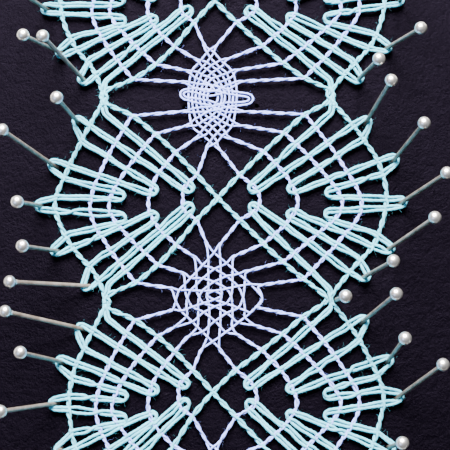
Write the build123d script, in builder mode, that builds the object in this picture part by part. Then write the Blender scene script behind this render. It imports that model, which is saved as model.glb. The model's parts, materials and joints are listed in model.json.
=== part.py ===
"""Two interlocking blocking mats with a strip of bobbin lace pinned out on one of them.

Millimetres, +Z up. The origin is the centre of the underside of the mat that carries the
lace. The strip runs along Y, and the second mat is joined on at the +X side.
"""

import os
from math import cos, radians, sin, sqrt

from build123d import *

# ---- the mats: 6 inch tiles with dovetail teeth on two sides and sockets on the other two
tile_pitch = 152.4
seam_gap = 0.3
tile_side = tile_pitch - seam_gap
foam_thickness = 11.0
felt_thickness = 1.0
mat_thickness = foam_thickness + felt_thickness
tooth_positions = (-46.0, 0.0, 46.0)
tooth_depth = 12.0
tooth_root_width = 20.0
tooth_tip_width = 26.0
tooth_clearance = 0.3
corner_radius = 1.5

# ---- the lace strip: four repeats of a fan, lying just clear of the felt
repeat_length = 30.75
fan_rows = (1.5, 0.5, -0.5, -1.5)
strip_half_length = 2 * repeat_length
lace_lift = 0.4
lace_thickness = 0.8
valley_reach = 15.9
edge_inset = 2.0

# ---- where the five pins of a fan stand: on an arc about a point out from the centreline
arc_centre_reach = 12.4
arc_radius = 16.1
pin_angles = (52.0, 26.0, 0.0, -26.0, -52.0)

# ---- the pins: steel wire with a ball head
pin_radius = 0.325
pin_hole_radius = 0.365
pin_head_radius = 0.95
pin_point_length = 2.5
pin_proud = 15.0
pin_buried = 11.0
hole_end_gap = 0.3

# For every pin of every fan, along the strip: (how far the hole stands out from the arc,
# how far it stands along the strip from it, how far the head leans outward, how far the
# head leans along the strip). Handwork is uneven, so each pin has its own values.
left_pins = (
    ((0.0, -0.3, 2.2, 1.0), (-0.9, 0.2, 3.6, -0.8), (-1.6, 0.3, 2.4, -1.7),
     (-2.5, 0.2, 4.1, -1.1), (-1.7, 1.2, 5.1, 3.6)),
    ((-0.6, 0.1, 1.6, 0.5), (-1.8, -1.3, 6.3, 3.1), (-1.2, -0.3, 1.4, -1.7),
     (-2.3, -0.3, 3.3, -1.0), (-3.5, -0.1, 11.6, -0.2)),
    ((-2.4, -1.4, 11.0, 2.1), (-3.4, -0.7, 4.4, 0.9), (-4.2, 0.2, 6.3, -1.2),
     (-3.3, 0.5, 1.7, -2.6), (-1.8, 0.2, 5.1, -1.6)),
    ((-0.3, -0.4, 3.3, 0.9), (-0.9, 0.3, 1.6, -1.2), (-0.8, -0.2, 4.4, 0.8),
     (-1.2, 0.1, 2.9, 1.5), (-0.6, -0.3, 3.7, -2.2)),
)
right_pins = (
    ((0.4, 0.2, 2.6, 1.9), (0.2, -0.3, 1.4, -1.0), (0.0, 1.7, 0.8, -0.9),
     (-0.6, 1.0, 3.5, -0.9), (-0.4, 1.6, 1.6, -0.6)),
    ((0.7, 0.0, 2.3, 3.3), (0.2, -0.5, 2.9, 3.1), (-0.6, -0.1, 5.3, 2.5),
     (-1.0, -0.3, 5.5, 3.3), (-0.1, 1.2, 2.9, 1.0)),
    ((-0.4, -0.3, 3.6, 3.2), (-1.1, -0.7, 0.8, 2.9), (-1.6, 0.8, 5.2, 4.8),
     (-1.1, 0.7, 0.1, 1.0), (-0.2, 0.3, 3.4, 1.1)),
    ((-0.5, 0.4, 2.4, -0.7), (-0.1, -0.2, 3.8, 1.3), (-0.5, 0.2, 1.9, -1.5),
     (-0.8, 0.3, 4.2, 0.6), (-0.2, -0.2, 2.8, -2.6)),
)
# Pins of their own, off the fans: (reach from the centreline with its side, place along the
# strip, outward lean, lean along the strip). One stands in a valley and four hold the ends.
lone_pins = {
    "valley_pin": (18.1, 0.5, 0.1, -0.7),
    "end_pin_1": (-17.4, strip_half_length + 1.0, 1.8, 2.9),
    "end_pin_2": (17.4, strip_half_length + 1.0, 2.4, 3.3),
    "end_pin_3": (-17.4, -strip_half_length - 1.0, 2.2, -3.1),
    "end_pin_4": (17.4, -strip_half_length - 1.0, 1.5, -2.6),
}


def add_tooth_outlines(side, extra, mode):
    """Add or cut the dovetails along the +X or +Y face line of the sketch under way."""
    for place in tooth_positions:
        root = tooth_root_width / 2 + extra
        tip = tooth_tip_width / 2 + extra
        base = -extra
        end = tooth_depth + extra
        corners = [(base, -root), (end, -tip), (end, tip), (base, root)]
        if side == "x":
            outline = [(tile_side / 2 + x, place + y) for x, y in corners]
        elif side == "y":
            outline = [(place + y, tile_side / 2 + x) for x, y in corners]
        elif side == "-x":
            outline = [(-tile_side / 2 - seam_gap + x, place + y) for x, y in corners]
        else:
            outline = [(place + y, -tile_side / 2 - seam_gap + x) for x, y in corners]
        with BuildLine() as edge_line:
            Polyline(*outline, close=True)
        make_face(edge_line.edges(), mode=mode)


def make_mat_layer(centre_x, bottom, thickness):
    """One die-cut layer of a tile: the square, its teeth and its sockets, corners eased."""
    plane = Plane((centre_x, 0, bottom))
    with BuildPart() as layer:
        with BuildSketch(plane):
            Rectangle(tile_side, tile_side)
            add_tooth_outlines("x", 0.0, Mode.ADD)
            add_tooth_outlines("y", 0.0, Mode.ADD)
            add_tooth_outlines("-x", tooth_clearance, Mode.SUBTRACT)
            add_tooth_outlines("-y", tooth_clearance, Mode.SUBTRACT)
        extrude(amount=thickness)
        fillet(layer.edges().filter_by(Axis.Z), corner_radius)
    return layer


def pin_axis(x, y, lean_x, lean_y):
    """The plane of a pin: its origin at the hole's mouth and its normal up the wire."""
    rise = sqrt(pin_proud**2 - lean_x**2 - lean_y**2)
    return Plane(origin=(x, y, mat_thickness), z_dir=(lean_x, lean_y, rise))


def fan_pin_axes(side_sign, table):
    """The axis planes of one edge's pins, fan by fan from the top of the strip."""
    axes = []
    for row, fan in zip(fan_rows, table):
        for angle, (out, along, lean_out, lean_along) in zip(pin_angles, fan):
            reach = arc_centre_reach + arc_radius * cos(radians(angle)) + out
            place = row * repeat_length + arc_radius * sin(radians(angle)) + along
            axes.append(pin_axis(side_sign * reach, place, side_sign * lean_out, lean_along))
    return axes


def make_pin(axis):
    """A pin as one turned piece: point, straight wire and ball head."""
    neck = sqrt(pin_head_radius**2 - pin_radius**2)
    profile_plane = Plane(origin=axis.origin, x_dir=axis.x_dir, z_dir=-axis.y_dir)
    with BuildPart() as pin:
        with BuildSketch(profile_plane):
            with BuildLine():
                Polyline(
                    (0, pin_proud + pin_head_radius),
                    (0, -pin_buried),
                    (pin_radius, pin_point_length - pin_buried),
                    (pin_radius, pin_proud - neck),
                )
                ThreePointArc(
                    (pin_radius, pin_proud - neck),
                    (pin_head_radius, pin_proud),
                    (0, pin_proud + pin_head_radius),
                )
            make_face()
        revolve(axis=Axis(axis.origin, axis.z_dir), revolution_arc=360)
    return pin


def cut_pin_holes(layer, axes):
    """Drill every pin's hole through a layer, a little wider than the wire."""
    with BuildPart() as drilled:
        add(layer.part)
        for axis in axes:
            with BuildSketch(axis.offset(-pin_buried - hole_end_gap)):
                Circle(pin_hole_radius)
            extrude(amount=pin_buried + hole_end_gap + felt_thickness, mode=Mode.SUBTRACT)
    return drilled


left_axes = fan_pin_axes(-1, left_pins)
right_axes = fan_pin_axes(1, right_pins)
pins = {}
for side_name, side_axes in (("left", left_axes), ("right", right_axes)):
    for number, axis in enumerate(side_axes):
        pins[f"{side_name}_pin_{number // 5 + 1}{number % 5 + 1}"] = axis
for pin_name, (reach, place, lean_out, lean_along) in lone_pins.items():
    outward = 1 if reach > 0 else -1
    pins[pin_name] = pin_axis(reach, place, outward * lean_out, lean_along)

# ---- the first mat, drilled for the pins
first_foam = make_mat_layer(0.0, 0.0, foam_thickness)
with BuildPart() as mat_1_foam:
    add(cut_pin_holes(first_foam, pins.values()).part)
mat_1_foam.part.label = "mat_1_foam"

first_felt = make_mat_layer(0.0, foam_thickness, felt_thickness)
with BuildPart() as mat_1_felt:
    add(cut_pin_holes(first_felt, pins.values()).part)
mat_1_felt.part.label = "mat_1_felt"

# ---- the second mat, joined to the first one's +X teeth
mat_2_foam = make_mat_layer(tile_pitch, 0.0, foam_thickness)
mat_2_foam.part.label = "mat_2_foam"
mat_2_felt = make_mat_layer(tile_pitch, foam_thickness, felt_thickness)
mat_2_felt.part.label = "mat_2_felt"

# ---- the lace strip: a thin plate whose edges run from valley to valley just inside the pins
with BuildPart() as lace_strip:
    with BuildSketch(Plane.XY.offset(mat_thickness + lace_lift)):
        with BuildLine():
            for side_sign, side_axes in ((-1, left_axes), (1, right_axes)):
                edge = [(side_sign * valley_reach, strip_half_length)]
                for fan, row in enumerate(fan_rows):
                    fan_centre = Vector(side_sign * arc_centre_reach, row * repeat_length)
                    for axis in side_axes[5 * fan : 5 * fan + 5]:
                        pin_foot = Vector(axis.origin.X, axis.origin.Y)
                        inward = (fan_centre - pin_foot).normalized()
                        corner = pin_foot + inward * edge_inset
                        edge.append((corner.X, corner.Y))
                    edge.append((side_sign * valley_reach, (row - 0.5) * repeat_length))
                Polyline(*edge)
            for end in (-strip_half_length, strip_half_length):
                Line((-valley_reach, end), (valley_reach, end))
        make_face()
    extrude(amount=lace_thickness)
lace_strip.part.label = "lace_strip"

os.makedirs("parts", exist_ok=True)
for piece in (mat_1_foam, mat_1_felt, mat_2_foam, mat_2_felt, lace_strip):
    export_step(piece.part, f"parts/{piece.part.label}.step")
for pin_name, axis in pins.items():
    pin = make_pin(axis)
    pin.part.label = pin_name
    export_step(pin.part, f"parts/{pin_name}.step")
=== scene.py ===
"""The looks of two interlocking blocking mats with a strip of bobbin lace pinned out on one.

The lace is built thread by thread: each thread is a twisted yarn that follows its own line
through the pattern and passes over and under the threads it meets. Lengths are millimetres,
and become metres when a mesh is made, but the materials, the floor and the lights are in metres.
"""

import json
import math

import bpy
import numpy as np
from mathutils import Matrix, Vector


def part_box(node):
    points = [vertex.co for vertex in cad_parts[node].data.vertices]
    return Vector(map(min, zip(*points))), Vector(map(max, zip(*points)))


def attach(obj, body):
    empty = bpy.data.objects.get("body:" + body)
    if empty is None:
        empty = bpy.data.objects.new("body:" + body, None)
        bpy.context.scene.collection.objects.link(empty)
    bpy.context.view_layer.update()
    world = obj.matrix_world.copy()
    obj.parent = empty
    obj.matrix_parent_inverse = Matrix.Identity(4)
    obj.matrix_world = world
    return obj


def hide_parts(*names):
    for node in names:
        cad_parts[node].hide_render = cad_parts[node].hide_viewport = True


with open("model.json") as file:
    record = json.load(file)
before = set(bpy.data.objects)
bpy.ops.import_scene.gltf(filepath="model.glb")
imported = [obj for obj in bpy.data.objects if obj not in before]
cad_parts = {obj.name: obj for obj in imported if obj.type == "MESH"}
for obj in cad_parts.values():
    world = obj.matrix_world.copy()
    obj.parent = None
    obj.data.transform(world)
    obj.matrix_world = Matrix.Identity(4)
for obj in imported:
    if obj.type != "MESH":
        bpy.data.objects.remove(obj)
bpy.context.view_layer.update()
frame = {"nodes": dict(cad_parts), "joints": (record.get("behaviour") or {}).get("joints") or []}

MM = 0.001

# ---- sizes shared with the CAD model
MAT_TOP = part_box("mat_1_felt")[1].z / MM
REPEAT = 30.75
FAN_ROWS = (1.5, 0.5, -0.5, -1.5)
STRIP_HALF = 2 * REPEAT
ARC_CENTRE_REACH = 12.4
ARC_RADIUS = 16.1
PIN_ANGLES = (52.0, 26.0, 0.0, -26.0, -52.0)
PIN_RADIUS = 0.325
PIN_HEAD_RADIUS = 0.95
PIN_PROUD = 15.0
PIN_BURIED = 11.0

# ---- the yarns, the fibres that stray from them, and how far handwork drifts
LACE_HEIGHT = MAT_TOP + 0.95
TURQUOISE_RADIUS = 0.265
EDGE_RADIUS = 0.225
LILAC_RADIUS = 0.18
STEP = 0.2  # between the points of a line
YARNS = {  # sides of the tube, plies, twist pitch, stray fibres to a millimetre
    "turquoise": (12, 3, 2.1, 1.2),
    "lilac": (10, 2, 1.5, 0.6),
}
PLY_DEPTH = 0.09
UNEVENNESS = ((0.06, 2.3, 1), (0.04, 7.1, 2))  # share of the radius, waves, share of the phase
PHASE_STEP = 1.7
TUBE_UPRIGHT = (0.012, 0.034, 1.0)  # off the vertical, so that no yarn runs along it
SHORTEST_PART = 3
FUZZ_REACH = 0.7
FUZZ_SHORTEST = 0.35
FUZZ_RADIUS = 0.006
FUZZ_CURL = 0.45
FUZZ_RISE = 0.7
FUZZ_ROOT = 0.8
FUZZ_FLOOR = MAT_TOP + 0.05
WANDERS = {  # the size of a drift, and the length it takes
    "worker": (0.085, 1.7),
    "edge": (0.04, 2.0),
    "lilac": (0.03, 2.0),
}

# ---- the worker pair of each side, which turns at the pins and at six places inside each fan
SIDES = (-1, 1)
WORKER_SPACING = 0.255  # of each strand from the line of its pair
TURN_CLOSING = 1.9  # how far before and after a turn the strands close up
TWIST_CLOSING = 0.9
LOOP_REACH = {-1: (4.5, 10.6, 16.0), 1: (5.4, 11.4, 17.3)}
LOOP_RISES = (1.5, 1.6, 1.1, -2.3, -2.3, -1.5)
INNER_LOOP_RADIUS = 0.63
PIN_LOOP_RADIUS = 0.65
FIRST_TURN_RADIUS = 0.3
BEND_INSET = 2.9
BEND_REACH = 0.8
BEND_RADIUS = 0.45
LEAST_BEND = 0.2
LONG_STRETCH = 7.0
TWIST_CHANCE = 0.3
TWIST_SHARES = (0.35, 0.65)

# ---- the valleys of the scallops. A pin stands in one of them, given by its side and its place
# along the strip in repeats, and the threads there bend nearer to its middle.
VALLEY_REACH = 17.5
VALLEY_BEND = (17.0, 2.3)
VALLEY_RADIUS = 0.35
VALLEY_RUN = 1.1
VALLEY_OFFSETS = {"outer": 0.35, "inner": -0.5}
PINNED_VALLEY = (1, 0.0)
PINNED_BEND = (17.3, 1.2)
PINNED_RUN = 0.45

# ---- the pairs along the scallops and along the inner edges of the fans
EDGE_INSETS = (2.2, 2.4, 2.3, 2.4, 2.2)
EDGE_BOW = {1: 1.25, -1: 0.8}
EDGE_WIDTHS = {"outer": 0.18, "inner": 0.2}
EDGE_HALF_TURNS = 24 * len(FAN_ROWS)

# ---- the lilac pairs: where they cross the inner edges, and their way through the fans
HOLE_SHARES = (0.19, 0.40, 0.58, 0.77)
FAN_PAIR_OUTWARD = (1.0, 0.9, 2.0, 5.0)
FAN_PAIR_DROP = 0.4
FAN_PAIR_BULGE = 0.9
FAN_PAIR_WIDTH = 0.2
FAN_HALF_TURN = 1.35
LEG_WIDTH = 0.14
LEG_HALF_TURN = 1.9
END_HALF_TURN = 1.7

# ---- the bars at the ends of the strip, and the legs that hang from them
BAR_STRANDS = ((0.0, 0.75), (0.5, 1.0))  # where the plait begins, and the radius round a pin
BAR_BEND_RADIUS = 0.3
BAR_DEPTH = 0.2
BAR_OVERLAP = 0.3
BAR_SWING = 0.3
BAR_PITCH = 3.1
END_LEG_START = 1.6
END_LEG_SPACING = 3.9
END_LEG_RISE = 0.3

# ---- how threads pass over and under each other
SEARCH_CELL = 0.5
NEXT_CELLS = ((1, 0), (0, 1), (1, 1), (1, -1))
OWN_GAP = 1.5
LIFT_SHARE = 0.47
EASE_LENGTH = 0.8
SAME_PLACE = 0.05
VOTE_GAP = 0.4

# ---- a pin's outline, past the wire and the ball that the CAD model gives it
PIN_TAPER = ((0.0, 0.0), (0.07, 0.3), (0.2, 1.2), (PIN_RADIUS, 2.5))  # radius, from the tip
PIN_COLLAR = ((0.0, 1.5), (0.05, 1.2), (0.09, 0.95))  # added radius, below the head's middle
HEAD_ANGLES = (-62, 90, 16)
HEAD_HEIGHTS = (0.95, 0.9)  # shares of the radius, below and above the head's middle
BRIGHT_FROM = PIN_PROUD - 1.05
PIN_SEGMENTS = 28

# ---- the camera
CAMERA_DISTANCE = 200.0
CAMERA_TIP = 8.0
VIEW_WIDTH = 69.2
VIEW_CENTRE = (1.1, REPEAT / 2 - 3.4)

random = np.random.default_rng(seed=7)


# ==== pins and how they pull
def pin_line(name):
    """The mouth of a pin's hole and its direction, from its CAD node and its joint."""
    joint = next(j for j in frame["joints"] if j["child"] == name)
    axis = np.array(joint["axis"], float)
    axis /= np.linalg.norm(axis)
    points = np.array([v.co for v in frame["nodes"][name].data.vertices]) / MM
    tip = points[(points @ axis).argmin()]
    return tip + axis * PIN_BURIED, axis


pin_names = sorted(n for n in frame["nodes"] if "_pin" in n)
pin_lines = {name: pin_line(name) for name in pin_names}


def at_lace(name):
    """Where a pin passes through the plane of the lace."""
    mouth, axis = pin_lines[name]
    return (mouth + axis * (LACE_HEIGHT - mouth[2]) / axis[2])[:2]


def fan_pin(side, fan, index):
    """The place of a pin in the lace plane: fans from the top, pins from the top of the fan."""
    word = "left" if side < 0 else "right"
    return at_lace(f"{word}_pin_{fan + 1}{index + 1}")


def ideal_pin(side, fan, index):
    """Where that pin would stand if the work were perfectly even."""
    angle = math.radians(PIN_ANGLES[index])
    reach = ARC_CENTRE_REACH + ARC_RADIUS * math.cos(angle)
    return np.array([side * reach, FAN_ROWS[fan] * REPEAT + ARC_RADIUS * math.sin(angle)])


# The pull of the pins: each entry is an even place and how far the thread there is drawn
# from it. The crossings on the centreline and the valleys are drawn a little too. A valley's
# entry is its place along the strip in repeats and its moves at the left and the right.
CENTRE_MOVES = ((-0.5, 1.5), (0.0, 0.8), (-0.7, 1.8), (0.2, 0.6))
VALLEY_MOVES = ((1, (-0.3, 1.4), (0.1, 1.6)), (0, (0.45, 0.2), (-0.5, 0.6)),
                (-1, (0.4, 0.6), (-0.2, 0.4)))
pulls = []
for side in SIDES:
    for fan in range(4):
        for index in range(5):
            place = ideal_pin(side, fan, index)
            pulls.append((place, fan_pin(side, fan, index) - place))
for fan, move in enumerate(CENTRE_MOVES):
    pulls.append((np.array([0.0, FAN_ROWS[fan] * REPEAT]), np.array(move)))
for line, left, right in VALLEY_MOVES:
    pulls.append((np.array([-VALLEY_REACH, line * REPEAT]), np.array(left)))
    pulls.append((np.array([VALLEY_REACH, line * REPEAT]), np.array(right)))
for end in (-STRIP_HALF, STRIP_HALF):
    for side in SIDES:
        pulls.append((np.array([side * VALLEY_REACH, end]), np.array([0.0, 0.0])))
pull_places, pull_moves = (np.array(column) for column in zip(*pulls))


def drawn(x, y):
    """A point of the even pattern, moved mostly by the nearest pulls."""
    distance = ((pull_places - (x, y)) ** 2).sum(1)
    weight = 1 / (distance + 1.0) ** 1.5
    return np.array([x, y]) + (weight[:, None] * pull_moves).sum(0) / weight.sum()


# ==== lines in the lace plane
def smooth(points):
    """A Catmull-Rom curve through the points, sampled about every STEP."""
    p = np.array(points, float)
    p = np.vstack([2 * p[0] - p[1], p, 2 * p[-1] - p[-2]])
    line = []
    for a, b, c, d in zip(p, p[1:], p[2:], p[3:]):
        count = max(2, int(np.linalg.norm(c - b) / STEP))
        t = np.linspace(0, 1, count, endpoint=False)[:, None]
        line.append(
            0.5 * (2 * b + (c - a) * t + (2 * a - 5 * b + 4 * c - d) * t**2
                   + (3 * b - a - 3 * c + d) * t**3)
        )
    line.append(p[-2][None])
    return np.vstack(line)


def lengths(line):
    """The distance along a line at each of its points."""
    return np.concatenate([[0], np.cumsum(np.linalg.norm(np.diff(line, axis=0), axis=1))])


def even(line):
    """The same line, sampled again at even steps."""
    s = lengths(line)
    places = np.linspace(0, s[-1], max(4, int(s[-1] / STEP)))
    return np.column_stack([np.interp(places, s, column) for column in line.T])


def soften(line, times):
    """The same line with its small corners rounded; the ends stay."""
    line = line.copy()
    for _ in range(times):
        line[1:-1] = (line[:-2] + 2 * line[1:-1] + line[2:]) / 4
    return line


def left_of(line):
    """The unit vector to the left of the way along a line, at each of its points."""
    way = np.gradient(line, axis=0)
    way /= np.linalg.norm(way, axis=1)[:, None]
    return np.stack([-way[:, 1], way[:, 0]], axis=1)


def belt(circles):
    """The line that runs round circles (centre, radius, turn) in order, crossing between them.

    turn is 1 for a left turn and -1 for a right turn. The distances along the line of the
    middles of its turns come with it.
    """
    line = []
    middles = []
    ends = []
    for (c1, r1, t1), (c2, r2, t2) in zip(circles, circles[1:]):
        across = c2 - c1
        distance = np.linalg.norm(across)
        way = across / distance
        left = np.array([-way[1], way[0]])
        # Circles that overlap have no such tangent, so the tilt is held back for them.
        tilt = math.asin(np.clip((t1 * r1 - t2 * r2) / distance, -0.9, 0.9))
        out = left * math.cos(tilt) - way * math.sin(tilt)
        ends.append((c1 - out * t1 * r1, c2 - out * t2 * r2))
    count = 0
    for (start, end), following, (centre, radius, turn) in zip(
        ends, ends[1:] + [None], circles[1:]
    ):
        steps = max(2, int(np.linalg.norm(end - start) / STEP))
        line.append(start + (end - start) * np.linspace(0, 1, steps, endpoint=False)[:, None])
        count += steps
        if following is None:
            line.append(end[None])
            break
        first = math.atan2(*(end - centre)[::-1])
        last = math.atan2(*(following[0] - centre)[::-1])
        sweep = (last - first) * turn % (2 * math.pi) * turn
        steps = max(6, int(abs(sweep) * radius / STEP))
        angles = first + sweep * np.linspace(0, 1, steps, endpoint=False)
        line.append(centre + radius * np.stack([np.cos(angles), np.sin(angles)], axis=1))
        middles.append(count + steps // 2)
        count += steps
    line = np.vstack(line)
    return even(line), lengths(line)[middles]


def strand(line, crossings_on_it, sign, spacing):
    """One of a pair's two strands: side by side, closing up and changing over at crossings.

    crossings_on_it are (distance along the line, how far before and after it closes up).
    """
    s = lengths(line)
    offset = np.full(len(s), sign * spacing)
    for place, closing in crossings_on_it:
        near = np.clip((s - place) / closing, -1, 1)
        offset *= -near * (1.5 - 0.5 * near**2)
    return line + left_of(line) * offset[:, None]


def wander(line, size, reach):
    """Small slow sideways drifts, as handwork has, that leave the ends alone."""
    s = lengths(line)
    knots = np.arange(0, s[-1] + 2 * reach, reach)
    drift = np.interp(s, knots, random.normal(0, size, len(knots)))
    drift *= np.clip(np.minimum(s, s[-1] - s) / reach, 0, 1)
    return line + left_of(line) * drift[:, None]


def twisted(line, sign, width, half_turns):
    """One of two threads twisted together about a line, in plan: it swings from side to side."""
    s = lengths(line)
    swing = sign * width * np.cos(math.pi * half_turns * s / s[-1])
    return line + left_of(line) * swing[:, None]


# ==== the pattern's threads
threads = []  # each is {"line": points in plan, "radius": mm, "colour": name}


def add_thread(line, radius, colour):
    """Adds a thread to the lace; it has no height until the threads are woven."""
    threads.append({"line": even(line), "radius": radius, "colour": colour})


def loop_centre(side, fan, number):
    """An inner turning point of a fan. There are six, numbered from 0 down the fan."""
    reach = LOOP_REACH[side][min(number, 5 - number)]
    return drawn(side * reach, FAN_ROWS[fan] * REPEAT + LOOP_RISES[number])


def valley(side, line):
    """The middle of a valley, by its side and its place along the strip in repeats."""
    return drawn(side * VALLEY_REACH, line * REPEAT)


def valley_run(side, line, outward):
    """Where an edge pair comes into a valley and leaves it, alongside the other pairs."""
    middle = valley(side, line) + (side * outward, 0)
    run = PINNED_RUN if (side, line) == PINNED_VALLEY else VALLEY_RUN
    return [middle + (0, run), middle, middle - (0, run)]


def valley_bend(side, line, half):
    """Where a worker pair straightens out above (1) or below (-1) a valley."""
    reach, rise = PINNED_BEND if (side, line) == PINNED_VALLEY else VALLEY_BEND
    return drawn(side * reach, line * REPEAT + half * rise)


def inward_from(pin, side, row):
    """The unit vector from a pin towards the middle of its fan's arc."""
    way = np.array([side * ARC_CENTRE_REACH, row * REPEAT]) - pin
    return way / np.linalg.norm(way)


def worker_turns(side):
    """Every turn of a side's worker pair: (centre, radius, turn, how far off it closes up)."""
    outward = -side  # the way the pair turns at a pin
    turns = [(np.array([side * VALLEY_REACH, STRIP_HALF]), FIRST_TURN_RADIUS, outward, 0.0)]
    for fan, row in enumerate(FAN_ROWS):
        loops = [loop_centre(side, fan, number) for number in range(6)]
        turns.append((valley_bend(side, row + 0.5, -1), BEND_RADIUS, outward, 0.0))
        for number, loop in enumerate(loops):
            turns.append((loop, INNER_LOOP_RADIUS, -outward, TURN_CLOSING))
            if number == 5:
                break
            pin = fan_pin(side, fan, number)
            inward = inward_from(pin, side, row)
            upward = np.array([inward[1], -inward[0]]) * side
            before = pin + inward * BEND_INSET + upward * BEND_REACH
            after = pin + inward * BEND_INSET - upward * BEND_REACH
            if bends(loop, before, pin) * outward > LEAST_BEND:
                turns.append((before, BEND_RADIUS, outward, 0.0))
            turns.append((pin, PIN_LOOP_RADIUS, outward, TURN_CLOSING))
            if bends(pin, after, loops[number + 1]) * outward > LEAST_BEND:
                turns.append((after, BEND_RADIUS, outward, 0.0))
        turns.append((valley_bend(side, row - 0.5, 1), BEND_RADIUS, outward, 0.0))
        turns.append((valley(side, row - 0.5), VALLEY_RADIUS, outward, TURN_CLOSING))
    return turns


def bends(before, here, after):
    """How sharply a path turns at a place, in radians, left being positive."""
    first = here - before
    second = after - here
    return math.atan2(first[0] * second[1] - first[1] * second[0], first @ second)


def add_workers():
    """The worker pairs, which change over at every turn and on some of the long stretches."""
    for side in SIDES:
        turns = worker_turns(side)
        line, middles = belt([turn[:3] for turn in turns])
        places = [(middle, turn[3]) for middle, turn in zip(middles, turns[1:]) if turn[3]]
        for (before, _), (after, _) in zip(places, places[1:]):
            if after - before > LONG_STRETCH and random.random() < TWIST_CHANCE:
                share = random.uniform(*TWIST_SHARES)
                places.append((before + share * (after - before), TWIST_CLOSING))
        for sign in (-1, 1):
            one = soften(strand(line, places, sign, WORKER_SPACING), 2)
            add_thread(wander(one, *WANDERS["worker"]), TURQUOISE_RADIUS, "turquoise")


def add_edge_pair(points, width):
    """Two threads twisted together along an edge of the fans, given by its points."""
    line = smooth(points)
    for sign in (-1, 1):
        one = twisted(line, sign, width, EDGE_HALF_TURNS)
        add_thread(wander(one, *WANDERS["edge"]), EDGE_RADIUS, "turquoise")


def add_outer_edges():
    """The pair that follows the scallops just inside the pins."""
    for side in SIDES:
        points = [valley(side, 2)]
        for fan, row in enumerate(FAN_ROWS):
            for index, inset in enumerate(EDGE_INSETS):
                pin = fan_pin(side, fan, index)
                points.append(pin + inward_from(pin, side, row) * inset)
            points += valley_run(side, row - 0.5, VALLEY_OFFSETS["outer"])
        add_edge_pair(points, EDGE_WIDTHS["outer"])


def on_inner_edge(side, fan, share, half):
    """A place on an inner edge, by its share of the way from the centre crossing to a valley.

    half is 1 for the edge above the fan's middle and -1 for the one below. Each bows a little
    into the diamond beside it.
    """
    rise = share * REPEAT / 2 + EDGE_BOW[half] * math.sin(math.pi * share)
    return drawn(side * VALLEY_REACH * share, FAN_ROWS[fan] * REPEAT + half * rise)


def add_inner_edges():
    """The two pairs that zigzag from valley to valley through the centre crossings."""
    for start in SIDES:
        side = start
        points = [valley(side, 2)]
        for fan, row in enumerate(FAN_ROWS):
            points += [on_inner_edge(side, fan, share, 1) for share in reversed(HOLE_SHARES)]
            points.append(drawn(0, row * REPEAT))
            side = -side
            points += [on_inner_edge(side, fan, share, -1) for share in HOLE_SHARES]
            points += valley_run(side, row - 0.5, VALLEY_OFFSETS["inner"])
        add_edge_pair(points, EDGE_WIDTHS["inner"])


def hole(side, fan, k, half):
    """Where pair k crosses the inner edge: half is 1 above the fan's middle and -1 below."""
    return on_inner_edge(side, fan, HOLE_SHARES[k], half)


def fan_line(side, fan, k):
    """The line of pair k through a fan, from its upper hole to its lower one."""
    top = hole(side, fan, k, 1)
    reach = LOOP_REACH[side][min(k, 2)] + FAN_PAIR_OUTWARD[k]
    middle = drawn(side * reach, FAN_ROWS[fan] * REPEAT - FAN_PAIR_DROP)
    bottom = hole(side, fan, k, -1)
    bulge = np.array([side * FAN_PAIR_BULGE, 0.0])
    return smooth([top, (top + middle) / 2 + bulge, middle, (bottom + middle) / 2 + bulge, bottom])


# The diamonds between the fans. Each is a spider: four pairs come in from each side, pass
# through one another in an upper diamond of crossings, turn round in the middle, pass back
# through a lower one and leave on the side they came from. Places are from the spider's
# middle: the top, left, right and bottom corners of each diamond, and the ends of the legs, a
# pair at a time from the centreline outward. In a dense spider the last pair of each side
# takes a sweep of its own, which goes right through and makes a loop on the far side.
SPIDER_MOVES = ((-1.1, 0.4), (-0.9, 0.7), (-0.4, 0.5))
DENSE_SPIDERS = (0, 2)
OPEN_SPIDER = 1
DENSE_UPPER = ((0.0, 6.9), (-2.8, 3.8), (2.95, 3.6), (0.0, 2.35))
DENSE_LOWER = ((0.0, -2.1), (-2.9, -3.9), (2.75, -3.9), (0.2, -6.8))
DENSE_BULGE = 0.25
DENSE_TURN_REACH = 1.18
DENSE_TURN_RISE = 0.1
DENSE_WIDTHS = {"mesh": 0.46, "turn": 0.3, "sweep": 0.25, "across": 0.36}
DENSE_HALF_WIDTH = 2.6
DENSE_LEGS = {
    "in": ((0.7, 7.6), (2.1, 5.8), (3.6, 4.2), (4.3, 2.5)),
    "out": ((0.7, -7.5), (2.2, -6.0), (3.7, -4.2), (4.3, -2.1)),
}
DENSE_SWEEPS = {
    -1: ((-2.5, 1.9), (0.0, 1.6), (2.0, 1.05), (3.7, 0.6), (5.7, 0.3), (6.2, -0.25), (5.6, -0.8),
         (3.7, -1.0), (2.0, -1.1), (0.0, -1.6), (-2.5, -1.85)),
    1: ((2.5, 1.7), (0.9, 0.9), (-0.8, 0.7), (-2.5, 1.1), (-3.7, 1.2), (-4.6, 1.05), (-4.95, 0.6),
        (-4.5, 0.05), (-3.7, -0.15), (-2.5, -0.35), (0.0, -0.9), (1.2, -1.5), (2.5, -1.9)),
}
OPEN_UPPER = ((0.1, 6.4), (-5.8, 1.0), (5.9, 1.6), (0.0, 0.65))
OPEN_LOWER = ((0.0, -0.65), (-5.4, -2.2), (6.0, -2.8), (0.2, -7.66))
OPEN_BULGE = 0.65
OPEN_LEGS = {
    "in": ((0.9, 7.4), (3.0, 5.75), (4.9, 3.5), (6.9, 1.35)),
    "out": ((1.5, -9.1), (4.2, -6.6), (7.2, -5.0), (6.8, -2.0)),
}
OPEN_TURNS = {-1: (0.7, 0.65, 0.65, 1.25), 1: (1.8, 0.75, 0.75, 1.25)}

# Pin holes left by earlier work, beside each dense spider, where the felt has painted shade.
OLD_PRICKS = ((7.0, -1.1), (-4.5, -1.2))
PRICK_RADIUS = 0.42


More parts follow.
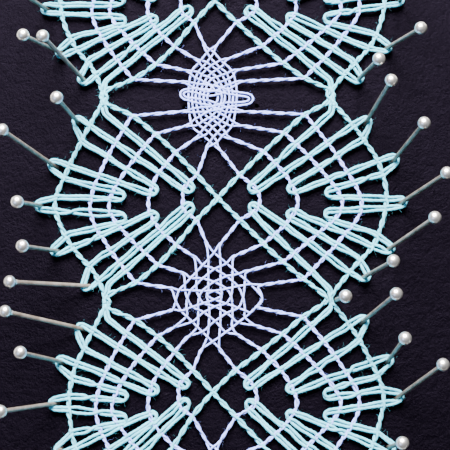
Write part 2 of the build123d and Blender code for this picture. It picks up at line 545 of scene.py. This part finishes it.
def node(corners, down_left, down_right, bulge):
    """A crossing in a diamond: shares of the way from its top corner to the two side ones.

    Shares are written for the left side, and [::-side] turns them round for the right one.
    """
    top, left, right, bottom = np.array(corners)
    a, b = down_left, down_right
    place = (1 - a) * (1 - b) * top + a * (1 - b) * left + (1 - a) * b * right + a * b * bottom
    return place + (0.0, bulge * math.sin(math.pi * a) * math.sin(math.pi * b))


def dense_body(side, k):
    """The places that a pair passes in a cloth-stitch spider, and its spread at each."""
    if k == 3:
        return [(x, y, DENSE_WIDTHS["across" if abs(x) < DENSE_HALF_WIDTH else "sweep"])
                for x, y in DENSE_SWEEPS[side]]
    shares = (0.0, 0.5, 1.0)
    upper = [node(DENSE_UPPER, *(k / 2, share)[::-side], DENSE_BULGE) for share in shares]
    lower = [node(DENSE_LOWER, *(share, 1 - k / 2)[::-side], DENSE_BULGE) for share in shares]
    turn = (-side * DENSE_TURN_REACH * (3 - k), DENSE_TURN_RISE, DENSE_WIDTHS["turn"])
    spread = DENSE_WIDTHS["mesh"]
    return [*((x, y, spread) for x, y in upper), turn, *((x, y, spread) for x, y in lower)]


def open_bodies(pairs):
    """The places each thread passes in a half-stitch spider, and the pairs as they leave it.

    At a crossing the two inner threads cross, and then each crosses the outer thread of the
    pair it has joined. pairs gives (outer, inner) for every (side, pair).
    """
    places = {thread: [] for pair in pairs.values() for thread in pair}
    left = [pairs[-1, k] for k in range(4)]
    right = [pairs[1, k] for k in range(4)]
    for corners, turning in ((OPEN_UPPER, True), (OPEN_LOWER, False)):
        grid = [[node(corners, i / 3, j / 3, OPEN_BULGE) for j in range(4)] for i in range(4)]
        for i in range(4):
            for j in range(4):
                here = grid[i][j]
                (outer_left, inner_left), (outer_right, inner_right) = left[i], right[j]
                places[inner_left].append(here)
                places[inner_right].append(here)
                if i < 3 or turning:
                    down_left = (here + grid[i + 1][j]) / 2 if i < 3 else open_turn(-1, j)
                    places[inner_right].append(down_left)
                    places[outer_left].append(down_left)
                if j < 3 or turning:
                    down_right = (here + grid[i][j + 1]) / 2 if j < 3 else open_turn(1, i)
                    places[inner_left].append(down_right)
                    places[outer_right].append(down_right)
                left[i] = (outer_right, inner_left)
                right[j] = (outer_left, inner_right)
        left, right = ([(b, a) for a, b in reversed(right)], [(b, a) for a, b in reversed(left)])
    # Each list is now on the side it began on, with its outer threads first.
    return places, {(side, k): row[k] for side, row in ((-1, left), (1, right)) for k in range(4)}


def open_turn(side, k):
    """Where the pair that is k-th from the outside turns round between the two diamonds."""
    above = node(OPEN_UPPER, *(1.0, k / 3)[::-side], OPEN_BULGE)
    below = node(OPEN_LOWER, *(1 - k / 3, 0.0)[::-side], OPEN_BULGE)
    return (above + below) / 2 + (side * OPEN_TURNS[side][k], 0.0)


def spider_place(number, x, y):
    """A place given from the middle of a spider, in the lace."""
    shift_x, shift_y = SPIDER_MOVES[number]
    return drawn(x + shift_x, (FAN_ROWS[number] - 0.5) * REPEAT + y + shift_y)


def hole_leg(side, fan, k, half, style):
    """The line of a leg: down from a hole to the spider, or from the spider to a hole."""
    reach, rise = style["in" if half < 0 else "out"][k]
    at_spider = spider_place(fan if half < 0 else fan - 1, side * reach, rise)
    at_hole = hole(side, fan, k, half)
    return smooth([at_hole, at_spider]) if half < 0 else smooth([at_spider, at_hole])


def dense_track(side, k, fan, sign, leg_in, leg_out):
    """A thread's way through a cloth-stitch spider, on one side of its pair's line."""
    body = [(*leg_in[-1], LEG_WIDTH)]
    for x, y, spread in dense_body(side, k):
        body.append((*spider_place(fan, x, y), spread))
    line = smooth([*body, (*leg_out[0], LEG_WIDTH)])
    plan = line[:, :2]
    return plan + left_of(plan) * line[:, 2:] * sign


def open_track(start, places, fan, sign, leg_out):
    """A thread's way through a half-stitch spider, by the places that it passes."""
    body = [spider_place(fan, *place) for place in places]
    leave = leg_out[0] + left_of(leg_out)[0] * sign * LEG_WIDTH
    return smooth([start, *body, leave])


def add_lilac():
    """The lilac pairs, each thread whole from the top bar to the bottom one."""
    every = [(side, k) for side in SIDES for k in range(4)]
    pairs = {key: (2 * number, 2 * number + 1) for number, key in enumerate(every)}
    tracks = {thread: [] for pair in pairs.values() for thread in pair}

    def follow(side, k, line, width, half_turn_length):
        """Takes a pair along a line, twisting, and notes which thread is then the outer one."""
        outer, inner = pairs[side, k]
        half_turns = max(1, round(lengths(line)[-1] / half_turn_length))
        tracks[inner].append(twisted(line, -side, width, half_turns))
        tracks[outer].append(twisted(line, side, width, half_turns))
        if half_turns % 2:
            pairs[side, k] = (inner, outer)

    for side, k in every:
        follow(side, k, end_line(side, k, 0, 1), LEG_WIDTH, END_HALF_TURN)
    for fan in range(4):
        for side, k in every:
            follow(side, k, fan_line(side, fan, k), FAN_PAIR_WIDTH, FAN_HALF_TURN)
        if fan == 3:
            break
        is_open = fan == OPEN_SPIDER
        style = OPEN_LEGS if is_open else DENSE_LEGS
        legs_in = {(side, k): hole_leg(side, fan, k, -1, style) for side, k in every}
        legs_out = {(side, k): hole_leg(side, fan + 1, k, 1, style) for side, k in every}
        for side, k in every:
            follow(side, k, legs_in[side, k], LEG_WIDTH, LEG_HALF_TURN)
        places, after = open_bodies(pairs) if is_open else ({}, pairs)
        for side, k in every:
            leg_out = legs_out[side, k]
            outer, inner = after[side, k]
            for thread, sign in ((inner, -side), (outer, side)):
                if is_open:
                    start = tracks[thread][-1][-1]
                    track = open_track(start, places[thread], fan, sign, leg_out)
                else:
                    track = dense_track(side, k, fan, sign, legs_in[side, k], leg_out)
                tracks[thread].append(track)
        pairs = after
        for side, k in every:
            follow(side, k, legs_out[side, k], LEG_WIDTH, LEG_HALF_TURN)
    for side, k in every:
        follow(side, k, end_line(side, k, 3, -1), LEG_WIDTH, END_HALF_TURN)
    for parts in tracks.values():
        line = soften(even(np.vstack(parts)), 3)
        add_thread(wander(line, *WANDERS["lilac"]), LILAC_RADIUS, "lilac")


def end_line(side, k, fan, half):
    """The leg of pair k between the bar at an end of the strip and the hole next to it."""
    start = hole(side, fan, k, half)
    reach = END_LEG_START + END_LEG_SPACING * k
    end = np.array([side * reach, half * (STRIP_HALF + END_LEG_RISE)])
    points = [end, end * 0.5 + start * 0.5, start]
    return smooth(points if half > 0 else points[::-1])


def add_end_bars():
    """The plaited bar across each end of the strip, looped round its two pins."""
    for end, names in ((1, ("end_pin_1", "end_pin_2")), (-1, ("end_pin_3", "end_pin_4"))):
        left, right = (at_lace(name) for name in names)
        for phase, loop_radius in BAR_STRANDS:
            circles = [
                (np.array([0.0, end * STRIP_HALF]), BAR_BEND_RADIUS, 1),
                (right, loop_radius, 1),
                (np.array([0.0, end * (STRIP_HALF + BAR_DEPTH)]), BAR_BEND_RADIUS, -1),
                (left, loop_radius, -1),
                (np.array([BAR_OVERLAP, end * STRIP_HALF]), BAR_BEND_RADIUS, 1),
            ]
            line, _ = belt(circles)
            swing = BAR_SWING * np.sin(2 * math.pi * (lengths(line) / BAR_PITCH + phase))
            line = line + left_of(line) * swing[:, None]
            add_thread(line, TURQUOISE_RADIUS, "turquoise")


# ==== over and under
def crossings():
    """Every place where two threads cross in plan: (thread, distance, thread, distance).

    The steps of the lines are sorted into square cells, and a step is only tried against those
    in its own cell and the ones beside it. A thread crosses itself too, but not within OWN_GAP.
    """
    lines = [thread["line"] for thread in threads]
    places = [lengths(line) for line in lines]
    a = np.vstack([line[:-1] for line in lines])
    b = np.vstack([line[1:] for line in lines])
    owner = np.repeat(np.arange(len(lines)), [len(line) - 1 for line in lines])
    along = np.concatenate([s[:-1] for s in places])
    step_length = np.concatenate([np.diff(s) for s in places])
    cells = np.floor((a + b) / 2 / SEARCH_CELL).astype(int)
    members = {}
    for index, cell in enumerate(map(tuple, cells)):
        members.setdefault(cell, []).append(index)
    first, second = [], []
    for (x, y), here in members.items():
        here = np.array(here)
        i, j = np.triu_indices(len(here), 1)
        first.append(here[i])
        second.append(here[j])
        for right, up in NEXT_CELLS:
            if (x + right, y + up) in members:
                there = np.array(members[x + right, y + up])
                i, j = np.meshgrid(here, there, indexing="ij")
                first.append(i.ravel())
                second.append(j.ravel())
    i, j = np.concatenate(first), np.concatenate(second)
    apart = (owner[i] != owner[j]) | (np.abs(along[i] - along[j]) > OWN_GAP)
    i, j = i[apart], j[apart]
    r, q, w = b[i] - a[i], b[j] - a[j], a[j] - a[i]
    cross = r[:, 0] * q[:, 1] - r[:, 1] * q[:, 0]
    cross = np.where(np.abs(cross) < 1e-9, 1e-9, cross)
    t = (w[:, 0] * q[:, 1] - w[:, 1] * q[:, 0]) / cross
    u = (w[:, 0] * r[:, 1] - w[:, 1] * r[:, 0]) / cross
    hit = (t >= 0) & (t < 1) & (u >= 0) & (u < 1)
    i, j, t, u = i[hit], j[hit], t[hit], u[hit]
    return list(zip(owner[i], along[i] + t * step_length[i], owner[j],
                    along[j] + u * step_length[j]))


def weave():
    """Gives every thread its height: at each crossing one passes over, turn and turn about."""
    met = crossings()
    on_thread = [[] for _ in threads]
    for number, (a, sa, b, sb) in enumerate(met):
        on_thread[a].append((sa, number))
        on_thread[b].append((sb, number))
    for row in on_thread:
        row.sort()
    spot = {(thread, number): place for thread, row in enumerate(on_thread)
            for place, (_, number) in enumerate(row)}
    over = {}

    def vote(thread, number):
        """How far a thread's neighbouring crossings call for it to pass over at this one."""
        row = on_thread[thread]
        place = spot[thread, number]
        total = 0.0
        for neighbour in (place - 1, place + 1):
            if 0 <= neighbour < len(row) and (thread, row[neighbour][1]) in over:
                gap = abs(row[neighbour][0] - row[place][0])
                total -= over[thread, row[neighbour][1]] / (VOTE_GAP + gap)
        return total

    for thread, row in enumerate(on_thread):
        for _, number in row:
            if (thread, number) in over:
                continue
            a, _, b, _ = met[number]
            total = vote(a, number) - vote(b, number)
            top = 1 if total >= 0 else -1
            over[a, number] = top
            over[b, number] = -top
    for number, thread in enumerate(threads):
        s = lengths(thread["line"])
        knots, heights = [0.0], [0.0]
        for place, crossing in on_thread[number]:
            a, _, b, _ = met[crossing]
            other = threads[b if a == number else a]
            lift = LIFT_SHARE * (thread["radius"] + other["radius"]) * over[number, crossing]
            if place - knots[-1] > 2 * EASE_LENGTH:
                knots += [knots[-1] + EASE_LENGTH, place - EASE_LENGTH]
                heights += [0.0, 0.0]
            if place - knots[-1] < SAME_PLACE:
                heights[-1] = (heights[-1] + lift) / 2
            else:
                knots.append(place)
                heights.append(lift)
        z = np.interp(s, knots + [knots[-1] + EASE_LENGTH], heights + [0.0])
        for _ in range(2):
            z = np.convolve(np.pad(z, 1, mode="edge"), (0.25, 0.5, 0.25), mode="valid")
        thread["height"] = z


# ==== meshes
def tubes(parts, sides, plies, twist_pitch):
    """Closed tubes with the lobes of twisted plies: their points, shades and faces.

    parts are (points, radius, distance at the first point, phase). A shade is 1 on the crown of
    a ply and 0 between two of them. The yarn's thickness is a little uneven.
    """
    all_points, all_shades, faces = [], [], []
    base = 0
    around = np.arange(sides) / sides * 2 * math.pi
    for points, radius, start, phase in parts:
        way = np.gradient(points, axis=0)
        way /= np.linalg.norm(way, axis=1)[:, None]
        side = np.cross(TUBE_UPRIGHT, way)
        side /= np.linalg.norm(side, axis=1)[:, None]
        up = np.cross(way, side)
        s = lengths(points) + start
        turn = 2 * math.pi * s[:, None] / twist_pitch + phase
        lobe = np.cos(plies * (around[None] - turn))
        r = radius * (1 - PLY_DEPTH + PLY_DEPTH * lobe)
        uneven = np.ones_like(s)
        for share, rate, shift in UNEVENNESS:
            uneven += share * np.sin(s * rate + shift * phase)
        r *= uneven[:, None]
        ring = (points[:, None] + side[:, None] * (r * np.cos(around))[..., None]
                + up[:, None] * (r * np.sin(around))[..., None])
        count = len(points)
        all_points.append(ring.reshape(-1, 3))
        all_shades.append((0.5 + 0.5 * lobe).ravel())
        i = np.arange(count - 1)[:, None] * sides
        j = np.arange(sides)[None]
        k = (j + 1) % sides
        quads = np.stack([i + j, i + k, i + sides + k, i + sides + j], axis=-1).reshape(-1, 4)
        faces.extend((quads + base).tolist())
        faces.append(list(range(base + sides - 1, base - 1, -1)))
        last = base + (count - 1) * sides
        faces.append(list(range(last, last + sides)))
        base += count * sides
    return np.vstack(all_points), np.concatenate(all_shades), faces


def fuzz(parts, per_mm):
    """The stray fibres of a piece's yarn as parts for tubes: curling, and never downward."""
    roots = []
    for points, radius, _, _ in parts:
        count = random.poisson(per_mm * lengths(points)[-1])
        for index in random.integers(0, len(points), count):
            out = random.normal(0, 1, 3)
            out[2] = abs(out[2]) * FUZZ_RISE
            out /= np.linalg.norm(out)
            roots.append((points[index] + out * radius * FUZZ_ROOT, out))
    strays = []
    t = np.linspace(0, 1, 5)[:, None]
    for root, out in roots:
        length = FUZZ_REACH * random.uniform(FUZZ_SHORTEST, 1.0)
        bend = random.normal(0, FUZZ_CURL, 3)
        points = root + length * (out * t + bend * t**2)
        points[:, 2] = np.maximum(points[:, 2], FUZZ_FLOOR)
        strays.append((points, FUZZ_RADIUS, 0.0, random.uniform(0, 6)))
    return strays


def add_object(name, data):
    """An object in the scene, from its mesh, lamp or camera."""
    obj = bpy.data.objects.new(name, data)
    bpy.context.scene.collection.objects.link(obj)
    return obj


def new_object(name, points, faces, material, shades):
    """A smooth-shaded object with one material, from points in millimetres and their shades."""
    mesh = bpy.data.meshes.new(name)
    mesh.from_pydata((np.asarray(points) * MM).tolist(), [], faces)
    shade = mesh.attributes.new("shade", "FLOAT", "POINT")
    shade.data.foreach_set("value", shades.astype(np.float32))
    mesh.shade_smooth()
    mesh.materials.append(material)
    return add_object(name, mesh)


def yarn_object(name, parts, colour, material):
    """Yarn of one colour and its fuzz as one object."""
    sides, plies, twist_pitch, per_mm = YARNS[colour]
    points, shades, faces = tubes(parts, sides, plies, twist_pitch)
    hair_points, hair_shades, hair_faces = tubes(fuzz(parts, per_mm), 3, 1, 1.0)
    faces += [[corner + len(points) for corner in face] for face in hair_faces]
    # The fuzz has shade 0 all along: no ply crowns, only the dark end of the painted ply shade.
    return new_object(name, np.vstack([points, hair_points]), faces, material,
                      np.concatenate([shades, np.zeros_like(hair_shades)]))


def lace_pieces(materials):
    """Cuts the threads at the valleys, so that each repeat of each colour is one piece."""
    pieces = {}
    for number, thread in enumerate(threads):
        line = thread["line"]
        points = np.column_stack([line, LACE_HEIGHT + thread["height"]])
        s = lengths(line)
        band = np.clip(np.floor((STRIP_HALF - line[:, 1]) / REPEAT), 0, 3).astype(int)
        cuts = np.concatenate([[0], np.nonzero(np.diff(band))[0] + 1, [len(line)]])
        for a, b in zip(cuts, cuts[1:]):
            b = min(b + 1, len(line))
            if b - a < SHORTEST_PART:
                continue
            part = (points[a:b], thread["radius"], s[a], number * PHASE_STEP)
            pieces.setdefault((thread["colour"], int(band[a])), []).append(part)
    made = {}
    for (colour, band), parts in sorted(pieces.items()):
        piece = yarn_object(f"lace_{colour}_{band + 1}", parts, colour, materials[colour])
        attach(piece, "lace")
        made[colour, band] = piece
    return made


def pin_profile():
    """A pin's outline as (radius, distance along the pin): taper, wire, collar and head."""
    profile = [(radius, rise - PIN_BURIED) for radius, rise in PIN_TAPER]
    profile.append((PIN_RADIUS, 0.0))
    profile += [(PIN_RADIUS + added, PIN_PROUD - below) for added, below in PIN_COLLAR]
    for angle in np.radians(np.linspace(*HEAD_ANGLES)):
        height = PIN_HEAD_RADIUS * HEAD_HEIGHTS[int(angle > 0)]
        profile.append((PIN_HEAD_RADIUS * math.cos(angle), PIN_PROUD + height * math.sin(angle)))
    return profile


def make_pin_piece(name, material):
    """A pin as one piece, turned from its profile about its own line."""
    mouth, axis = pin_lines[name]
    profile = pin_profile()
    side = np.cross(axis, (0.0, 1.0, 0.0))
    side /= np.linalg.norm(side)
    other = np.cross(axis, side)
    angles = 2 * math.pi * np.arange(PIN_SEGMENTS) / PIN_SEGMENTS
    around = np.outer(np.cos(angles), side) + np.outer(np.sin(angles), other)
    points = [mouth + axis * profile[0][1]]
    for radius, along in profile[1:-1]:
        points.extend(mouth + axis * along + around * radius)
    points.append(mouth + axis * profile[-1][1])
    rings = len(profile) - 2
    faces = []
    for k in range(PIN_SEGMENTS):
        following = (k + 1) % PIN_SEGMENTS
        faces.append((0, 1 + following, 1 + k))
        for ring in range(rings - 1):
            low = 1 + ring * PIN_SEGMENTS
            high = low + PIN_SEGMENTS
            faces.append((low + k, low + following, high + following, high + k))
        top = 1 + (rings - 1) * PIN_SEGMENTS
        faces.append((top + k, top + following, len(points) - 1))
    shades = np.array([float((p - mouth) @ axis > BRIGHT_FROM) for p in points])
    obj = new_object(f"{name}_steel", points, faces, material, shades)
    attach(obj, name)
    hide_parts(name)
    return obj


# ==== materials
class Nodes:
    """Short ways to build a material's node tree."""

    def __init__(self, name):
        self.material = bpy.data.materials.new(name)
        self.material.use_nodes = True
        self.tree = self.material.node_tree
        self.shader = self.tree.nodes["Principled BSDF"]

    def add(self, kind, **settings):
        node = self.tree.nodes.new(kind)
        for key, value in settings.items():
            if hasattr(node, key):
                setattr(node, key, value)
            else:
                node.inputs[key.replace("_", " ")].default_value = value
        return node

    def link(self, output, target):
        self.tree.links.new(output, target)

    def coordinates(self):
        return self.add("ShaderNodeTexCoord").outputs["Object"]

    def texture(self, kind, output, **settings):
        node = self.add(kind, **settings)
        self.link(self.coordinates(), node.inputs["Vector"])
        return node.outputs[output]

    def noise(self, scale, detail=3.0, roughness=0.6):
        return self.texture("ShaderNodeTexNoise", "Fac", Scale=scale, Detail=detail,
                            Roughness=roughness)

    def cells(self, scale):
        return self.texture("ShaderNodeTexVoronoi", "Distance", Scale=scale)

    def shade(self):
        return self.add("ShaderNodeAttribute", attribute_name="shade").outputs["Fac"]

    def ramp(self, value, stops):
        node = self.add("ShaderNodeValToRGB")
        while len(node.color_ramp.elements) < len(stops):
            node.color_ramp.elements.new(0.5)
        for element, (place, colour) in zip(node.color_ramp.elements, stops):
            element.position = place
            element.color = (*colour, 1.0)
        self.link(value, node.inputs["Fac"])
        return node.outputs["Color"]

    def mix(self, factor, first, second, blend="MIX"):
        node = self.add("ShaderNodeMix", data_type="RGBA", blend_type=blend)
        for socket, value in zip((node.inputs[0], node.inputs[6], node.inputs[7]),
                                 (factor, first, second)):
            if isinstance(value, bpy.types.NodeSocket):
                self.link(value, socket)
            else:
                socket.default_value = value if isinstance(value, float) else (*value, 1.0)
        return node.outputs[2]

    def patchy(self, colour, scale, stops):
        """The colour, multiplied in patches by the colours of a ramp's stops."""
        return self.mix(1.0, colour, self.ramp(self.noise(scale), stops), "MULTIPLY")

    def bump(self, height, strength, distance, before=None):
        node = self.add("ShaderNodeBump", Strength=strength, Distance=distance)
        self.link(height, node.inputs["Height"])
        if before is not None:
            self.link(before, node.inputs["Normal"])
        return node.outputs["Normal"]

    def finish(self, colour, normal=None, roughness=None, **values):
        self.link(colour, self.shader.inputs["Base Color"])
        if normal is not None:
            self.link(normal, self.shader.inputs["Normal"])
        if roughness is not None:
            self.link(roughness, self.shader.inputs["Roughness"])
        for key, value in values.items():
            self.shader.inputs[key.replace("_", " ")].default_value = value
        return self.material


def thread_material(name, deep, middle, light):
    """Twisted yarn with a fine fibrous grain and painted shade between the plies and down the
    sides.
    """
    n = Nodes(name)
    # Painted shade: dark where the yarn's sides turn from the vertical, and between its plies.
    parts = n.add("ShaderNodeSeparateXYZ")
    n.link(n.add("ShaderNodeNewGeometry").outputs["Normal"], parts.inputs[0])
    painted_side_shade = n.ramp(parts.outputs["Z"], [(0.0, (0, 0, 0)), (0.85, (1, 1, 1))])
    shade = n.mix(0.3, painted_side_shade, n.shade())
    # Painted shade to colour: deep colour in the shaded places, light where the yarn faces up.
    colour = n.ramp(shade, [(0.0, deep), (0.45, middle), (1.0, light)])
    for scale in (380.0, 1600.0):
        colour = n.patchy(colour, scale, [(0.32, (0.6, 0.76, 0.82)), (0.62, (1.0, 1.0, 1.0))])
    fibre = n.noise(5200.0, 4.0, 0.7)
    colour = n.mix(0.3, colour, n.ramp(fibre, [(0.35, middle), (0.65, light)]))
    normal = n.bump(fibre, 0.5, 0.00008)
    return n.finish(colour, normal, Roughness=0.75, Sheen_Weight=0.1, Sheen_Roughness=0.5,
                    Specular_IOR_Level=0.3)


def felt_material(pricks):
    """Short dark nap: a low sheen broken by tufts, with specks of lint caught in it.

    The old pin holes are painted shade: black, without sheen. Their places are given in metres.
    """
    n = Nodes("dark_felt")
    fine = n.noise(2600.0, 5.0, 0.75)
    tufts = n.noise(620.0, 4.0, 0.7)
    colour = n.ramp(fine, [(0.3, (0.0002, 0.00012, 0.0004)), (0.55, (0.0004, 0.00025, 0.0007)),
                           (0.78, (0.0015, 0.001, 0.0022))])
    colour = n.patchy(colour, 60.0, [(0.3, (0.75, 0.72, 0.8)), (0.7, (1.2, 1.15, 1.15))])
    speck = n.ramp(n.cells(420.0), [(0.0, (1, 1, 1)), (0.035, (0, 0, 0))])
    colour = n.mix(speck, colour, (0.03, 0.026, 0.035))
    sheen = (0.75, 0.55, 1.0)
    black = (0.0, 0.0, 0.0)
    # Painted shade: in each old pin hole the colour and the specular tint fade to black.
    for prick in pricks:
        apart = n.add("ShaderNodeVectorMath", operation="DISTANCE")
        n.link(n.coordinates(), apart.inputs[0])
        apart.inputs[1].default_value = prick
        outside = n.add("ShaderNodeMapRange", From_Min=0.7 * PRICK_RADIUS * MM,
                        From_Max=PRICK_RADIUS * MM)
        n.link(apart.outputs["Value"], outside.inputs["Value"])
        colour = n.mix(outside.outputs["Result"], black, colour)
        sheen = n.mix(outside.outputs["Result"], black, sheen)
    roughness = n.ramp(tufts, [(0.3, (0.36, 0.36, 0.36)), (0.7, (0.5, 0.5, 0.5))])
    normal = n.bump(fine, 0.5, 0.0003)
    normal = n.bump(tufts, 0.4, 0.0006, normal)
    n.link(sheen, n.shader.inputs["Specular Tint"])
    return n.finish(colour, normal, roughness, Specular_IOR_Level=0.03)


def foam_material():
    """Dark closed-cell foam, as it shows on a cut face."""
    n = Nodes("closed_cell_foam")
    cells = n.cells(1900.0)
    colour = n.ramp(cells, [(0.0, (0.004, 0.0035, 0.005)), (0.6, (0.011, 0.01, 0.013))])
    colour = n.patchy(colour, 120.0, [(0.3, (0.8, 0.8, 0.8)), (0.7, (1.1, 1.1, 1.1))])
    normal = n.bump(cells, 0.6, 0.0003)
    return n.finish(colour, normal, Roughness=0.8, Specular_IOR_Level=0.12)


def steel_material():
    """Nickel plate on steel wire: bright on the head, greyer and stained down the wire."""
    n = Nodes("nickel_plated_steel")
    head = n.shade()
    dull = n.noise(700.0, 4.0, 0.65)
    wire = n.ramp(dull, [(0.35, (0.12, 0.088, 0.066)), (0.65, (0.25, 0.215, 0.185))])
    bright = n.ramp(dull, [(0.3, (0.74, 0.67, 0.61)), (0.6, (0.88, 0.85, 0.82))])
    colour = n.mix(head, wire, bright)
    roughness = n.mix(head, (0.45, 0.45, 0.45), (0.3, 0.3, 0.3))
    metal = n.mix(head, (0.45, 0.45, 0.45), (0.96, 0.96, 0.96))
    n.link(metal, n.shader.inputs["Metallic"])
    normal = n.bump(n.noise(1800.0), 0.06, 0.00003)
    return n.finish(colour, normal, roughness)


def floor_material():
    """A matt pale floor, a little uneven in tone."""
    n = Nodes("pale_floor")
    colour = n.ramp(n.noise(6.0), [(0.3, (0.5, 0.49, 0.48)), (0.7, (0.54, 0.53, 0.52))])
    return n.finish(colour, Roughness=0.7)


# ==== the stage
def make_stage():
    """The floor, just under the mats."""
    bpy.ops.mesh.primitive_plane_add(size=6.0, location=(0.0, 0.0, -0.0002))
    floor = bpy.context.object
    floor.name = "floor"
    floor.data.materials.append(floor_material())


def make_light(name, place, target, size, power, colour):
    """A rectangular lamp turned towards its target."""
    light = bpy.data.lights.new(name, "AREA")
    light.shape = "RECTANGLE"
    light.size, light.size_y = size
    light.energy = power
    light.color = colour
    obj = add_object(name, light)
    obj.location = place
    obj.rotation_euler = (Vector(target) - Vector(place)).to_track_quat("-Z", "Y").to_euler()
    obj.visible_camera = False


def make_lights():
    """A key from the top of the picture, a weak blue fill from its left, and a dim room."""
    focus = (0.0, 0.01, 0.012)
    make_light("key", (-0.04, 0.34, 0.38), focus, (0.3, 0.3), 32.0, (1.0, 0.99, 0.97))
    make_light("fill", (-0.5, -0.2, 0.7), focus, (0.5, 0.5), 2.2, (0.4, 0.58, 1.0))
    world = bpy.data.worlds.new("room")
    world.use_nodes = True
    background = world.node_tree.nodes["Background"].inputs
    background["Color"].default_value = (0.75, 0.85, 1.0, 1.0)
    background["Strength"].default_value = 0.14
    bpy.context.scene.world = world


def make_camera():
    """Almost straight above the second fan from the top, tipped a little towards +Y."""
    tip = math.radians(CAMERA_TIP)
    target = np.array([*VIEW_CENTRE, LACE_HEIGHT])
    place = target + CAMERA_DISTANCE * np.array([0.0, -math.sin(tip), math.cos(tip)])
    data = bpy.data.cameras.new("camera")
    data.sensor_fit = "HORIZONTAL"
    data.angle = 2 * math.atan(VIEW_WIDTH / 2 / CAMERA_DISTANCE)
    data.clip_start = 0.01
    camera = add_object("camera", data)
    camera.location = place * MM
    camera.rotation_euler = (tip, 0.0, 0.0)
    bpy.context.scene.camera = camera


make_camera()
make_stage()
make_lights()

add_workers()
add_outer_edges()
add_inner_edges()
add_lilac()
add_end_bars()
weave()

thread_materials = {
    "turquoise": thread_material("turquoise_cotton", (0.012, 0.085, 0.12), (0.055, 0.28, 0.36),
                                 (0.11, 0.52, 0.65)),
    "lilac": thread_material("lilac_cotton", (0.03, 0.035, 0.18), (0.17, 0.2, 0.68),
                             (0.4, 0.46, 1.0)),
}
made = lace_pieces(thread_materials)
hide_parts("lace_strip")

steel = steel_material()
for pin_name in pin_names:
    make_pin_piece(pin_name, steel)

pricks = [(*spider_place(number, x, y) * MM, MAT_TOP * MM)
          for number in DENSE_SPIDERS for x, y in OLD_PRICKS]
felt = felt_material(pricks)
foam = foam_material()
for number in (1, 2):
    for layer, material in (("felt", felt), ("foam", foam)):
        slots = frame["nodes"][f"mat_{number}_{layer}"].data.materials
        slots.clear()
        slots.append(material)
